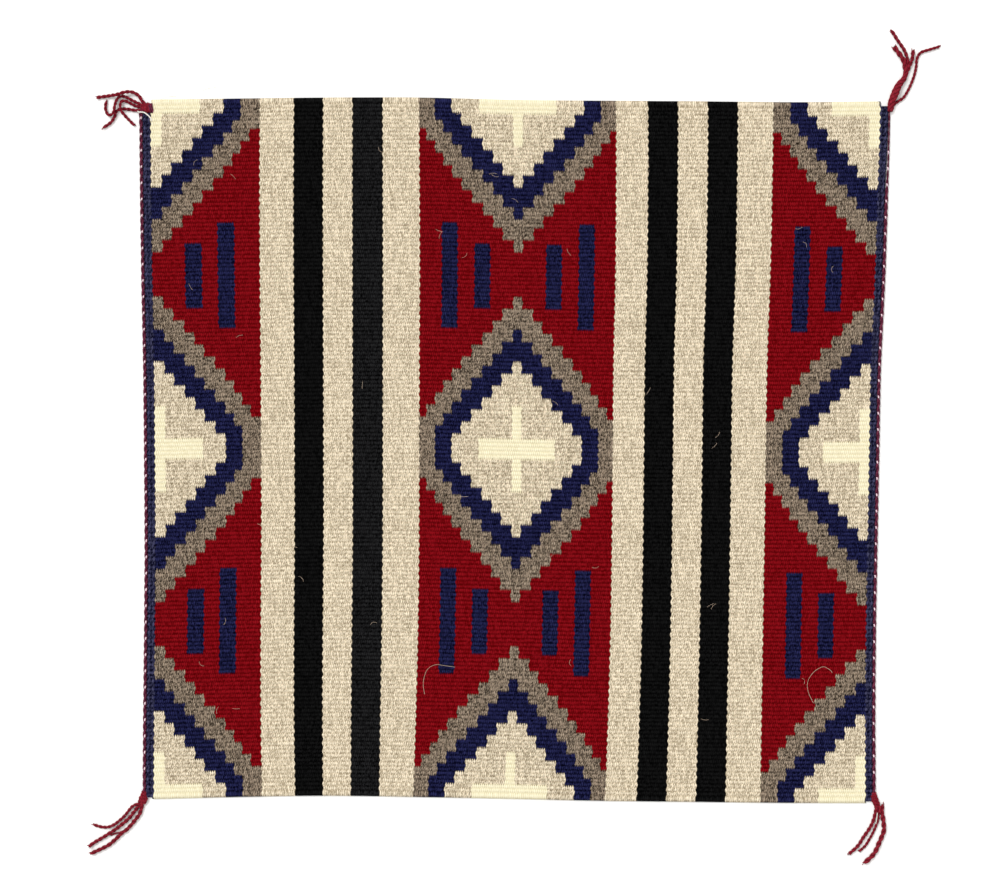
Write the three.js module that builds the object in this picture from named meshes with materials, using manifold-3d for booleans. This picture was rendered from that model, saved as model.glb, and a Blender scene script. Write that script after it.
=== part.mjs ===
// A small tapestry-woven wool rug, lying flat, with a twined cord along both warp ends and a
// knotted tassel at each corner. Millimetres, +Z up. The warps lie along X, one rib for each warp,
// and the wefts along Y. The origin is the middle of the rug's underside, which rests on z = 0.

import * as THREE from "three";
import { mergeVertices } from "three/addons/utils/BufferGeometryUtils.js";
import Module from "manifold-3d";

// Cloth
const RIBS = 171; // warps, at nine to the inch
const OUTER_RIB = 1.5; // width in ribs of the first and the last rib, whose warps are doubled
const CREST_HIGH = 2.9; // top of a rib, which is the cloth's thickness
const VALLEY_HIGH = 2.3; // between two ribs
const RIM_HIGH = 1.7; // at the two selvages, where the outer warp rounds off
const RIBS_PER_STATION = 19; // spacing of the underside's points along Y

// Edges, at evenly spaced stations. The two selvages run from the left end to the right end, and
// the two warp ends from the top selvage to the bottom one.
const SELVAGES = [
  { top: 240.5, bottom: -241.0 },
  { top: 241.3, bottom: -239.6 },
  { top: 242.0, bottom: -238.7 },
  { top: 242.0, bottom: -239.6 },
  { top: 240.3, bottom: -240.8 },
  { top: 239.8, bottom: -242.2 },
  { top: 239.4, bottom: -242.9 },
  { top: 238.8, bottom: -243.6 },
  { top: 239.3, bottom: -243.7 },
];
const WARP_ENDS = [
  { left: -254.2, right: 257.6 },
  { left: -253.7, right: 256.1 },
  { left: -252.8, right: 254.1 },
  { left: -251.6, right: 251.3 },
  { left: -251.0, right: 250.1 },
  { left: -250.6, right: 249.0 },
  { left: -250.9, right: 247.9 },
  { left: -251.5, right: 247.4 },
  { left: -251.9, right: 247.6 },
];

// Corners, where the last wefts of the dark end band are drawn back by the knot
const NOTCHES = [
  { x: -248.0, y: 231.2, sideX: -1, sideY: 1 },
  { x: 254.6, y: 236.4, sideX: 1, sideY: 1 },
  { x: -247.2, y: -239.6, sideX: -1, sideY: -1 },
  { x: 243.2, y: -242.6, sideX: 1, sideY: -1 },
];
const NOTCH_REACH = 20; // size of the cutting block, past the cloth's corner and faces

// End cords
const GAP = 0.3; // between the cloth and each cord
const CORD_WIDE = 2.2;
const CORD_HIGH = 2.6;
const WAIST = 0.78; // width between two turns, as a share of the width at a turn
const TURN_RIBS = 2; // ribs to a turn of the cord's twist
const TURN_LEAN = 0.7; // how far a turn leans along the cord, per millimetre across it
const CORDS = [
  { name: "end_cord_left", edge: "left", side: -1, top: 231.6, bottom: -235.4 },
  { name: "end_cord_right", edge: "right", side: 1, top: 232.2, bottom: -237.2 },
];

// Sections of a yarn that lies on the surface, as shares of its width and height
const STRAND_SECTION = [
  { across: -0.4, up: 0 },
  { across: 0.4, up: 0 },
  { across: 0.34, up: 1 },
  { across: -0.34, up: 1 },
];
const CORD_SECTION = [
  { across: -0.34, up: 0 },
  { across: 0.34, up: 0 },
  { across: 0.5, up: 0.5 },
  { across: 0.26, up: 1 },
  { across: -0.26, up: 1 },
  { across: -0.5, up: 0.5 },
];

// Tassels. A knot's rows are x, y, width and height, and a strand's rows are x, y and lift, which
// counts how many yarns it passes over there.
const STRAND_ASPECT = 0.85; // height of a loose yarn over its width
const LIFT_STEP = 2.5; // one yarn's height and a little air
const STEPS_PER_POINT = 2;
const TASSELS = [
  {
    name: "tassel_top_left",
    knot: [
      [-248.4, 234.9, 5.4, 3.0],
      [-249.8, 234.9, 6.4, 3.8],
      [-252.2, 235.0, 6.0, 3.6],
      [-254.8, 235.4, 4.4, 2.6],
    ],
    strands: [
      {
        wide: 2.4,
        route: [
          [-251.5, 236.6, 0],
          [-254.7, 239.6, 0],
          [-257.0, 243.2, 0],
          [-261.4, 245.6, 0.4],
          [-266.1, 245.4, 1],
          [-271.7, 243.8, 1],
          [-278.8, 243.0, 0],
          [-285.9, 242.0, 0],
        ],
      },
      {
        wide: 2.1,
        route: [
          [-251.5, 235.6, 0],
          [-260.2, 239.4, 0],
          [-266.1, 242.5, 0],
          [-270.1, 242.8, 0],
          [-272.4, 239.9, 0.2],
          [-273.2, 235.9, 1],
          [-274.2, 231.2, 1],
          [-278.0, 230.1, 0],
          [-280.0, 234.5, 0],
          [-279.5, 239.3, 0],
        ],
      },
      {
        wide: 2.2,
        route: [
          [-251.5, 234.2, 0],
          [-258.2, 233.2, 0],
          [-264.1, 234.0, 0],
          [-269.3, 234.2, 0],
          [-272.6, 232.4, 0],
          [-273.8, 228.6, 0],
          [-276.4, 224.8, 0],
          [-281.5, 221.3, 0],
        ],
      },
      {
        wide: 2.1,
        route: [
          [-251.5, 234.9, 0],
          [-259.4, 236.4, 0],
          [-265.2, 239.3, 0.1],
          [-268.6, 239.4, 0.3],
          [-269.4, 236.0, 1],
          [-268.4, 232.0, 1],
          [-264.5, 227.4, 0],
          [-260.2, 223.0, 0],
        ],
      },
    ],
  },
  {
    name: "tassel_top_right",
    knot: [
      [259.7, 232.6, 3.0, 2.8],
      [260.6, 234.9, 4.4, 3.8],
      [261.2, 238.4, 4.6, 3.4],
      [264.0, 245.6, 5.8, 3.4],
      [266.6, 250.9, 5.2, 3.2],
      [269.7, 254.8, 4.2, 3.0],
      [271.6, 260.1, 3.8, 2.8],
    ],
    strands: [
      {
        wide: 2.4,
        route: [
          [271.4, 258.6, 0],
          [272.7, 265.4, 0],
          [271.6, 271.1, 0],
          [269.7, 275.5, 0],
          [265.8, 281.2, 0],
          [261.6, 287.8, 0],
        ],
      },
      {
        wide: 3.4,
        route: [
          [271.0, 258.6, 0],
          [270.2, 265.8, 0],
          [267.6, 270.7, 0],
          [263.1, 276.8, 0],
        ],
      },
      {
        wide: 2.6,
        route: [
          [271.6, 258.6, 0],
          [274.1, 264.5, 0],
          [275.6, 268.9, 0],
          [276.3, 274.2, 0],
        ],
      },
      {
        wide: 2.0,
        route: [
          [261.0, 235.6, 0],
          [265.8, 239.3, 0],
          [269.7, 242.1, 0],
          [272.5, 246.5, 0],
          [275.2, 252.2, 0],
          [277.2, 257.9, 0],
          [278.4, 263.5, 0],
          [278.9, 268.6, 0],
          [281.5, 273.0, 0],
          [287.7, 275.1, 0],
          [293.8, 277.0, 0],
        ],
      },
    ],
  },
  {
    name: "tassel_bottom_left",
    knot: [
      [-253.6, -235.8, 2.6, 2.8],
      [-254.2, -238.4, 3.8, 3.6],
      [-254.3, -241.0, 3.8, 3.6],
      [-254.4, -243.6, 4.0, 2.8],
    ],
    strands: [
      {
        wide: 2.1,
        route: [
          [-254.0, -241.8, 0],
          [-256.4, -243.8, 0],
          [-261.6, -246.3, 0],
          [-266.4, -252.2, 0],
          [-269.8, -255.4, 0],
          [-274.0, -258.6, 0],
          [-278.2, -260.4, 0],
          [-283.0, -260.2, 0],
          [-288.1, -258.8, 0],
        ],
      },
      {
        wide: 2.5,
        route: [
          [-254.2, -242.4, 0],
          [-259.7, -249.2, 0],
          [-263.2, -253.6, 0],
          [-267.3, -257.4, 0],
          [-271.7, -260.9, 0],
          [-280.2, -266.6, 0],
          [-285.4, -269.6, 0],
          [-291.3, -273.5, 0],
        ],
      },
      {
        wide: 2.7,
        route: [
          [-254.2, -242.8, 0],
          [-256.0, -250.2, 0],
          [-258.5, -254.2, 0],
          [-264.8, -261.6, 0],
          [-268.6, -264.4, 0],
          [-275.3, -270.8, 0],
          [-279.8, -273.8, 0],
          [-290.1, -278.7, 0],
        ],
      },
    ],
  },
  {
    name: "tassel_bottom_right",
    knot: [
      [249.4, -237.7, 2.4, 2.8],
      [250.2, -240.6, 3.4, 3.4],
      [251.2, -244.0, 3.8, 3.4],
      [251.7, -247.4, 3.4, 2.8],
    ],
    strands: [
      {
        wide: 2.4,
        route: [
          [251.4, -245.8, 0],
          [250.2, -250.4, 0],
          [248.9, -255.4, 0],
          [246.9, -260.1, 0],
          [241.6, -268.0, 0],
          [239.4, -271.6, 0],
          [236.6, -275.0, 0],
          [232.3, -278.7, 0],
        ],
      },
      {
        wide: 1.9,
        route: [
          [251.7, -246.2, 0],
          [252.3, -252.0, 0],
          [251.8, -256.5, 0],
          [248.5, -264.6, 0],
          [245.9, -269.1, 0],
          [243.4, -273.2, 0],
          [239.2, -277.1, 0],
        ],
      },
      {
        wide: 3.2,
        route: [
          [251.8, -245.8, 0],
          [254.5, -250.0, 0],
          [256.0, -259.3, 0],
          [255.9, -263.3, 0],
          [252.4, -272.0, 0],
          [250.6, -276.3, 0],
          [248.4, -279.6, 0],
          [242.8, -285.0, 0],
        ],
      },
      {
        wide: 2.6,
        route: [
          [254.1, -250.4, 0],
          [255.0, -247.4, 0],
          [255.2, -244.8, 0],
        ],
      },
    ],
  },
];

const wool = (color, roughness) =>
  new THREE.MeshStandardMaterial({ color, roughness, metalness: 0 });
const CLOTH_WOOL = wool(0xd8c8ad, 0.95);
const CORD_WOOL = wool(0x6f1020, 0.9);
const TASSEL_WOOL = wool(0x8f1526, 0.9);

const wasm = await Module();
wasm.setup();

// A smooth line through the named column of a table whose rows are evenly spaced.
function smooth(table, column) {
  const spacing = 1 / (table.length - 1);
  const points = table.map((row, i) => new THREE.Vector2(i * spacing, row[column]));
  const line = new THREE.SplineCurve(points);
  return (share) => line.getPoint(share).y;
}

const topSelvage = smooth(SELVAGES, "top");
const bottomSelvage = smooth(SELVAGES, "bottom");
const warpEnd = {
  left: smooth(WARP_ENDS, "left"),
  right: smooth(WARP_ENDS, "right"),
};

// The place of a point of the weave: u runs from the left end to the right, v from the top down.
function placeOf(u, v) {
  const left = warpEnd.left(v);
  const right = warpEnd.right(v);
  const top = topSelvage(u);
  const bottom = bottomSelvage(u);
  return [left + u * (right - left), top + v * (bottom - top)];
}

// How far down the cloth so many ribs reach, as a share of the way.
function shareOf(ribs) {
  const outer = Math.min(ribs, 1) + Math.max(ribs - (RIBS - 1), 0);
  return (ribs + (OUTER_RIB - 1) * outer) / (RIBS + 2 * (OUTER_RIB - 1));
}

function geometryOf(points, triangles) {
  const made = new THREE.BufferGeometry();
  made.setAttribute("position", new THREE.Float32BufferAttribute(points.flat(), 3));
  made.setIndex(triangles.flat());
  return made;
}

function solidOf(geometry) {
  const bare = geometry.clone();
  bare.deleteAttribute("normal");
  bare.deleteAttribute("uv");
  const merged = mergeVertices(bare, 1e-4);
  return new wasm.Manifold(
    new wasm.Mesh({
      numProp: 3,
      vertProperties: merged.attributes.position.array,
      triVerts: new Uint32Array(merged.index.array),
    }),
  );
}

function geometryFrom(solid) {
  const mesh = solid.getMesh();
  const made = new THREE.BufferGeometry();
  made.setAttribute("position", new THREE.BufferAttribute(mesh.vertProperties, 3));
  made.setIndex(new THREE.BufferAttribute(mesh.triVerts, 1));
  return made;
}

// The cloth: ribbed on top, with a point row on each crest and in each valley, and flat below.
function clothGeometry() {
  const columns = SELVAGES.length;
  const rows = 2 * RIBS + 1;
  const fine = 2 * RIBS_PER_STATION;
  const stations = (rows - 1) / fine + 1;
  const points = [];
  const triangles = [];
  for (let r = 0; r < rows; r++) {
    const onRim = r === 0 || r === rows - 1;
    const high = onRim ? RIM_HIGH : r % 2 ? CREST_HIGH : VALLEY_HIGH;
    for (let c = 0; c < columns; c++) {
      points.push([...placeOf(c / (columns - 1), shareOf(r / 2)), high]);
    }
  }
  const below = points.length;
  for (let s = 0; s < stations; s++) {
    for (let c = 0; c < columns; c++) {
      points.push([...placeOf(c / (columns - 1), shareOf(s * RIBS_PER_STATION)), 0]);
    }
  }
  const top = (r, c) => r * columns + c;
  const under = (s, c) => below + s * columns + c;
  const quad = (a, b, c, d) => triangles.push([a, b, c], [a, c, d]);
  for (let c = 0; c < columns - 1; c++) {
    for (let r = 0; r < rows - 1; r++) {
      quad(top(r, c), top(r + 1, c), top(r + 1, c + 1), top(r, c + 1));
    }
    for (let s = 0; s < stations - 1; s++) {
      quad(under(s, c), under(s, c + 1), under(s + 1, c + 1), under(s + 1, c));
    }
    quad(top(0, c), top(0, c + 1), under(0, c + 1), under(0, c));
    const last = stations - 1;
    quad(top(rows - 1, c), under(last, c), under(last, c + 1), top(rows - 1, c + 1));
  }
  const far = columns - 1;
  for (let s = 0; s < stations - 1; s++) {
    for (let r = s * fine; r < (s + 1) * fine; r++) {
      triangles.push([top(r, 0), under(s, 0), top(r + 1, 0)]);
      triangles.push([top(r, far), top(r + 1, far), under(s, far)]);
    }
    const end = (s + 1) * fine;
    triangles.push([top(end, 0), under(s, 0), under(s + 1, 0)]);
    triangles.push([top(end, far), under(s + 1, far), under(s, far)]);
  }
  return geometryOf(points, triangles);
}

function cloth() {
  let solid = solidOf(clothGeometry());
  for (const { x, y, sideX, sideY } of NOTCHES) {
    const block = new THREE.BoxGeometry(NOTCH_REACH, NOTCH_REACH, NOTCH_REACH);
    block.translate(x + (sideX * NOTCH_REACH) / 2, y + (sideY * NOTCH_REACH) / 2, 0);
    solid = solid.subtract(solidOf(block));
  }
  return geometryFrom(solid);
}

// A closed form through rows of { x, y, z, wide, high }, whose section stands on its lowest side.
// lean shifts the upper points of a section along the way, which gives a twisted yarn its slant.
function laidGeometry(rows, section, lean = 0) {
  const sides = section.length;
  const points = [];
  const triangles = [];
  rows.forEach((row, i) => {
    const before = rows[Math.max(i - 1, 0)];
    const after = rows[Math.min(i + 1, rows.length - 1)];
    const ahead = new THREE.Vector2(after.x - before.x, after.y - before.y).normalize();
    for (const { across, up } of section) {
      const aside = across * row.wide;
      const slant = i > 0 && i < rows.length - 1 ? lean * aside * up : 0;
      points.push([
        row.x + ahead.y * aside + ahead.x * slant,
        row.y - ahead.x * aside + ahead.y * slant,
        row.z + up * row.high,
      ]);
    }
  });
  for (let i = 0; i < rows.length - 1; i++) {
    for (let k = 0; k < sides; k++) {
      const near = i * sides + k;
      const next = i * sides + ((k + 1) % sides);
      triangles.push([near, next + sides, next], [near, near + sides, next + sides]);
    }
  }
  const end = (rows.length - 1) * sides;
  for (let k = 1; k < sides - 1; k++) {
    triangles.push([0, k, k + 1], [end, end + k + 1, end + k]);
  }
  return geometryOf(points, triangles);
}

// A twined end cord: a wide row at each turn of its twist and a narrow row between two turns.
function endCord({ edge, side, top, bottom }) {
  const count = Math.round(RIBS / TURN_RIBS) * 2;
  const rows = [];
  for (let i = 0; i <= count; i++) {
    const v = i / count;
    const y = top + v * (bottom - top);
    const wide = CORD_WIDE * (i % 2 ? 1 : WAIST);
    const x = warpEnd[edge](v) + side * (GAP + CORD_WIDE / 2);
    rows.push({ x, y, z: 0, wide, high: CORD_HIGH * (i % 2 ? 1 : WAIST) });
  }
  return laidGeometry(rows, CORD_SECTION, TURN_LEAN);
}

function strandGeometry({ wide, route }) {
  const points = route.map(([x, y, lift]) => new THREE.Vector3(x, y, lift * LIFT_STEP));
  const line = new THREE.CatmullRomCurve3(points, false, "centripetal");
  const rows = line.getPoints((route.length - 1) * STEPS_PER_POINT).map(({ x, y, z }) => {
    return { x, y, z: Math.max(z, 0), wide, high: wide * STRAND_ASPECT };
  });
  return laidGeometry(rows, STRAND_SECTION);
}

function tassel({ knot, strands }) {
  const rows = knot.map(([x, y, wide, high]) => ({ x, y, z: 0, wide, high }));
  let solid = solidOf(laidGeometry(rows, CORD_SECTION));
  for (const strand of strands) {
    solid = solid.add(solidOf(strandGeometry(strand)));
  }
  return geometryFrom(solid);
}

function named(name, geometry, material) {
  const mesh = new THREE.Mesh(geometry, material);
  mesh.name = name;
  return mesh;
}

const group = new THREE.Group();
group.add(named("woven_cloth", cloth(), CLOTH_WOOL));
for (const cord of CORDS) {
  group.add(named(cord.name, endCord(cord), CORD_WOOL));
}
for (const corner of TASSELS) {
  group.add(named(corner.name, tassel(corner), TASSEL_WOOL));
}

export default group;
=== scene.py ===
# A small tapestry-woven wool rug, lying flat and seen from above. Metres, +Z up. The warps lie along
# X and the wefts along Y. A pick is one pass of the weft, and a rib is one warp wrapped by its wefts.

import math

import bpy
import numpy as np
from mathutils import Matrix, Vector


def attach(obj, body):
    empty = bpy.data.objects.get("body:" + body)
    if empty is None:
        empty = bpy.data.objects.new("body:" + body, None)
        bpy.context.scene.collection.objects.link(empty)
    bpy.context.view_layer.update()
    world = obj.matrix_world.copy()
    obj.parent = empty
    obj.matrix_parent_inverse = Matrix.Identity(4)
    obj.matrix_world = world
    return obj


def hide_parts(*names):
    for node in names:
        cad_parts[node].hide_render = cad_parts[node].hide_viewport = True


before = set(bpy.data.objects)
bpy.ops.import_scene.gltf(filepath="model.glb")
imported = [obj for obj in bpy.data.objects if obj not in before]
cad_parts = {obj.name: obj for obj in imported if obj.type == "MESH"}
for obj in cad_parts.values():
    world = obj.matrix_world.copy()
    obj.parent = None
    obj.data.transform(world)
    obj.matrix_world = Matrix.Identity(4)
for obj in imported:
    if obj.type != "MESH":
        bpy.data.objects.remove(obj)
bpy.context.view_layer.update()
scene = bpy.context.scene
MATH = "ShaderNodeMath"


# The cloth. One flat tapestry of hand-spun wool, woven with the weft beaten down over the warps until
# it hides them, so that both faces show the same ribs and the same pattern. A colour turns back at
# the warp where its shape ends, and the selvages and warp ends close by the weave itself.

MM = 0.001
RIBS = 171
OUTER_RIB = 1.5  # width in ribs of the first and the last rib, whose warps are doubled
PICKS = 700
THICK = 2.9 * MM
VALLEY_DEEP = 0.42 * MM  # from a rib's crest to the line between two ribs
ROWS_PER_RIB = 4
UNEVEN = 0.22 * MM  # how much the beating leaves some ribs lower than others

# The edges, as the part's source has them: selvages (top, bottom) from the left end to the right,
# and warp ends (left, right) from the top selvage down.
SELVAGES = np.array([
    (0.2405, -0.2410), (0.2413, -0.2396), (0.2420, -0.2387), (0.2420, -0.2396), (0.2403, -0.2408),
    (0.2398, -0.2422), (0.2394, -0.2429), (0.2388, -0.2436), (0.2393, -0.2437),
])
WARP_ENDS = np.array([
    (-0.2542, 0.2576), (-0.2537, 0.2561), (-0.2528, 0.2541), (-0.2516, 0.2513), (-0.2510, 0.2501),
    (-0.2506, 0.2490), (-0.2509, 0.2479), (-0.2515, 0.2474), (-0.2519, 0.2476),
])

# How far the last picks of each end press past those edges towards their cord. Near the top of the
# right end they swell out over it.
END_SHARE = 0.015  # of the length, which is pressed out
TO_CORD = (0.3 * MM, 0.9 * MM)
SWELL_AT = (0.0, 0.07, 0.12)
SWELL = (0.9 * MM, 0.7 * MM, 0.0)

# How the weft draws the lines of the pattern aside near the lower selvage: picks towards the right
# end, at these picks of the weave. Near the upper selvage it is less.
DRAWN_AT = (0, 130, 200, 280, 450, PICKS)
DRAWN = (0, 3, 0, -5, -5, 0)
DRAWN_TOP = 0.4  # of that, at the upper selvage
DRAWN_REACH = 0.3  # of the cloth's height

# Corners without cloth, where the knots draw the end band back: picks and ribs from the corner
NOTCHES = {
    "top_left": (8, 2.75), "top_right": (6, 0.75), "bottom_left": (6, 0.25), "bottom_right": (6, 0.25),
}


def through(table, share):
    """A smooth line through evenly spaced rows of a table, read at a share of its length."""
    place = np.clip(np.asarray(share, float), 0, 1) * (len(table) - 1)
    i = np.minimum(place.astype(int), len(table) - 2)
    f = place - i
    a, b = table[np.maximum(i - 1, 0)], table[i]
    c, d = table[i + 1], table[np.minimum(i + 2, len(table) - 1)]
    return b + 0.5 * f * (c - a + f * (2 * a - 5 * b + 4 * c - d + f * (3 * (b - c) + d - a)))


def share_of(ribs):
    """How far down the cloth so many ribs reach, as a share of the way."""
    outer = np.minimum(ribs, 1) + np.maximum(ribs - (RIBS - 1), 0)
    return (ribs + (OUTER_RIB - 1) * outer) / (RIBS + 2 * (OUTER_RIB - 1))


def place_of(u, v):
    """The place of a point of the weave: u runs from the left end to the right, v from the top down."""
    left, right = (through(WARP_ENDS[:, k], v) for k in range(2))
    top, bottom = (through(SELVAGES[:, k], u) for k in range(2))
    pressed_left = TO_CORD[0] * np.clip(1 - u / END_SHARE, 0, 1)
    swollen = TO_CORD[1] + np.interp(v, SWELL_AT, SWELL)
    pressed_right = swollen * np.clip(1 - (1 - u) / END_SHARE, 0, 1)
    x = left + u * (right - left) - pressed_left + pressed_right
    return x, top + v * (bottom - top)


def drawn_aside(picks, v):
    """Where a pick lies at that height, counted in even picks from the left end."""
    near_top = max(0, 1 - v / DRAWN_REACH)
    near_bottom = max(0, 1 - (1 - v) / DRAWN_REACH)
    return picks + (DRAWN_TOP * near_top**2 + near_bottom**2) * np.interp(picks, DRAWN_AT, DRAWN)


# The mesh: two grids of points, upper and lower, joined along the outline. Its map holds each
# point's pick and rib, which the ribs' shape and the colours both read. Its columns are evenly
# spaced but for the close ones, which are given in picks from their end.
CLOSE_LEFT = (0, 1, 3, 6, 8, 10)
CLOSE_RIGHT = (0, 1, 3, 4, 6, 8, 10)
EVEN_COLUMNS = np.linspace(16, PICKS - 16, 51)
columns = np.unique([*CLOSE_LEFT, *EVEN_COLUMNS, *(PICKS - p for p in CLOSE_RIGHT)])
rows = np.arange(RIBS * ROWS_PER_RIB + 1) / ROWS_PER_RIB
counts = np.stack(np.meshgrid(columns, rows), -1)
places = np.zeros((len(rows), len(columns), 3))
for r, down in enumerate(share_of(rows)):
    x, y = place_of(drawn_aside(columns, down) / PICKS, np.full(len(columns), down))
    places[r, :, 0] = x
    places[r, :, 1] = y

cell_pick, cell_rib = np.moveaxis(counts[1:, 1:] + counts[:-1, :-1], -1, 0) / 2
kept = np.ones(cell_pick.shape, bool)
for corner, (picks, ribs) in NOTCHES.items():
    from_end = cell_pick if "left" in corner else PICKS - cell_pick
    from_selvage = cell_rib if "top" in corner else RIBS - cell_rib
    kept &= ~((from_end < picks) & (from_selvage < ribs))

around = np.pad(kept, 1).astype(int)
touching = around[1:, 1:] + around[:-1, 1:] + around[1:, :-1] + around[:-1, :-1]
shown = touching > 0
inside = touching == 4
upper = np.full(shown.shape, -1)
upper[shown] = np.arange(shown.sum())
lower = upper.copy()
lower[inside] = shown.sum() + np.arange(inside.sum())
r, c = np.nonzero(kept)
quads = np.concatenate([
    np.c_[upper[r, c], upper[r + 1, c], upper[r + 1, c + 1], upper[r, c + 1]],
    np.c_[lower[r, c], lower[r, c + 1], lower[r + 1, c + 1], lower[r + 1, c]],
])
weave_map = np.concatenate([counts[shown], counts[inside]])
face = np.concatenate([inside[shown].astype(float), -np.ones(inside.sum())])

cloth_mesh = bpy.data.meshes.new("woven_cloth_base")
cloth_mesh.from_pydata(np.concatenate([places[shown], places[inside]]).tolist(), [], quads.tolist())
cloth_mesh.uv_layers.new(name="weave").data.foreach_set("uv", weave_map[quads.ravel()].ravel())
cloth_mesh.attributes.new("face", "FLOAT", "POINT").data.foreach_set("value", face)
cloth_mesh.attributes.new("rib", "FLOAT", "POINT").data.foreach_set("value", weave_map[:, 1])


def add_node(tree, kind, inputs=None, **settings):
    """Adds a node. inputs gives each socket a value or what feeds it: a socket, or a node's first one."""
    node = tree.nodes.new(kind)
    for name, value in settings.items():
        setattr(node, name, value)
    for key, value in (inputs or {}).items():
        if isinstance(value, bpy.types.Node):
            value = value.outputs[0]
        if isinstance(value, bpy.types.NodeSocket):
            tree.links.new(value, node.inputs[key])
        else:
            node.inputs[key].default_value = value
    return node


def wave(tree, value, rate, operation):
    """The sine or cosine of a value times a rate."""
    turn = add_node(tree, MATH, {0: value, 1: rate}, operation="MULTIPLY")
    return add_node(tree, MATH, {0: turn}, operation=operation)


def new_tree(name, inputs):
    """An empty Geometry Nodes tree with a mesh in and out, and an input of each name and kind."""
    tree = bpy.data.node_groups.new(name, "GeometryNodeTree")
    tree.is_modifier = True
    tree.interface.new_socket("Geometry", in_out="INPUT", socket_type="NodeSocketGeometry")
    tree.interface.new_socket("Geometry", in_out="OUTPUT", socket_type="NodeSocketGeometry")
    for label, kind in inputs.items():
        tree.interface.new_socket(label, in_out="INPUT", socket_type="NodeSocket" + kind)
    return tree, tree.nodes.new("NodeGroupInput").outputs


def end_tree(tree, geometry, wool):
    """Ends a tree with all its instances made real and the wool on them."""
    whole = add_node(tree, "GeometryNodeRealizeInstances", {"Geometry": geometry})
    dyed = add_node(tree, "GeometryNodeSetMaterial", {"Geometry": whole, "Material": wool})
    add_node(tree, "NodeGroupOutput", {0: dyed})


def add_object(name, data):
    """A new object in the scene."""
    obj = bpy.data.objects.new(name, data)
    scene.collection.objects.link(obj)
    return obj


def grown(name, mesh, tree, values):
    """A plain mesh object: what the tree makes of a mesh with these values."""
    base = add_object(name + "_base", mesh)
    modifier = base.modifiers.new(tree.name, "NODES")
    modifier.node_group = tree
    for item in tree.interface.items_tree:
        if item.in_out == "INPUT" and item.name in values:
            modifier[item.identifier] = values[item.name]
    depsgraph = bpy.context.evaluated_depsgraph_get()
    made = bpy.data.meshes.new_from_object(base.evaluated_get(depsgraph))
    bpy.data.objects.remove(base)
    made.name = name
    return add_object(name, made)


# The ribs: a point's height over or under the cloth's middle plane is round across a rib
ribs_tree, given = new_tree(
    "weave_relief", {"Thickness": "Float", "Valley": "Float", "Uneven": "Float", "Wool": "Material"}
)
rib_at = add_node(ribs_tree, "GeometryNodeInputNamedAttribute", {"Name": "rib"}, data_type="FLOAT")
side_at = add_node(ribs_tree, "GeometryNodeInputNamedAttribute", {"Name": "face"}, data_type="FLOAT")
rib_wave = wave(ribs_tree, rib_at, math.pi, "SINE")
rib_crest = add_node(ribs_tree, MATH, {0: rib_wave}, operation="ABSOLUTE")
rib_sunk = add_node(ribs_tree, MATH, {0: 1.0, 1: rib_crest}, operation="SUBTRACT")
sink = add_node(ribs_tree, MATH, {0: rib_sunk, 1: given["Valley"]}, operation="MULTIPLY")
rib_place = add_node(ribs_tree, "GeometryNodeInputPosition")
beaten = add_node(
    ribs_tree, "ShaderNodeTexNoise",
    {"Vector": rib_place, "Scale": 38.0, "Detail": 3.0, "Roughness": 0.6}, noise_dimensions="3D",
)
lowered = add_node(ribs_tree, MATH, {0: beaten, 1: given["Uneven"], 2: sink}, operation="MULTIPLY_ADD")
half = add_node(ribs_tree, MATH, {0: given["Thickness"], 1: 0.5}, operation="MULTIPLY")
standing = add_node(ribs_tree, MATH, {0: half, 1: lowered}, operation="SUBTRACT")
height = add_node(ribs_tree, MATH, {0: standing, 1: side_at, 2: half}, operation="MULTIPLY_ADD")
raised = add_node(ribs_tree, "ShaderNodeCombineXYZ", {"Z": height})
shaped = add_node(ribs_tree, "GeometryNodeSetPosition", {"Geometry": given["Geometry"], "Offset": raised})
smooth = add_node(ribs_tree, "GeometryNodeSetShadeSmooth", {"Geometry": shaped})
end_tree(ribs_tree, smooth, given["Wool"])


def linear(hex_colour):
    """An sRGB hex colour as the linear values that Blender's sockets take."""
    shares = [int(hex_colour[k : k + 2], 16) / 255 for k in (1, 3, 5)]
    return tuple(s / 12.92 if s <= 0.04045 else ((s + 0.055) / 1.055) ** 2.4 for s in shares) + (1.0,)


# The yarns: name, then the shade of its darkest and its lightest fibres. Natural wools are carded
# from dark and light fleece, and so are mottled; dyed ones are more even.
YARNS = {
    "black": ("#000000", "#161616"),
    "faded_black": ("#000000", "#242425"),
    "red": ("#560002", "#881019"),
    "navy": ("#00000f", "#262850"),
    "end_navy": ("#03031a", "#42425e"),
    "grey": ("#160c04", "#a49380"),
    "oatmeal": ("#9c8e75", "#ede0c8"),
    "oatmeal_mottled": ("#8f8168", "#ebdec6"),
    "cream": ("#dcd3b3", "#eae3c8"),
}

# Each yarn's number is its place in that list as a share, which two ramps turn to its shades
SHELF_STEP = 1 / (len(YARNS) + 1)
SHELF = {name: k * SHELF_STEP for k, name in enumerate(YARNS)}

# The chart, in picks and ribs. Each stripe starts at a pick and runs to the next.
STRIPES = [
    (0, "end_navy"), (8, "red"), (110, "oatmeal"), (142, "black"), (170, "oatmeal"),
    (198, "faded_black"), (227, "oatmeal"), (262, "red"), (448, "oatmeal"), (478, "black"),
    (506, "oatmeal"), (534, "black"), (562, "oatmeal"), (595, "red"), (694, "end_navy"),
]

# The diamonds and crosses stand in three columns, the outer two cut off by the end bands: the middle
# pick of each, and how far the arms of its crosses reach from there
COLUMNS = [(12.5, 41), (355, 36.5), (689, 40)]

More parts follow.
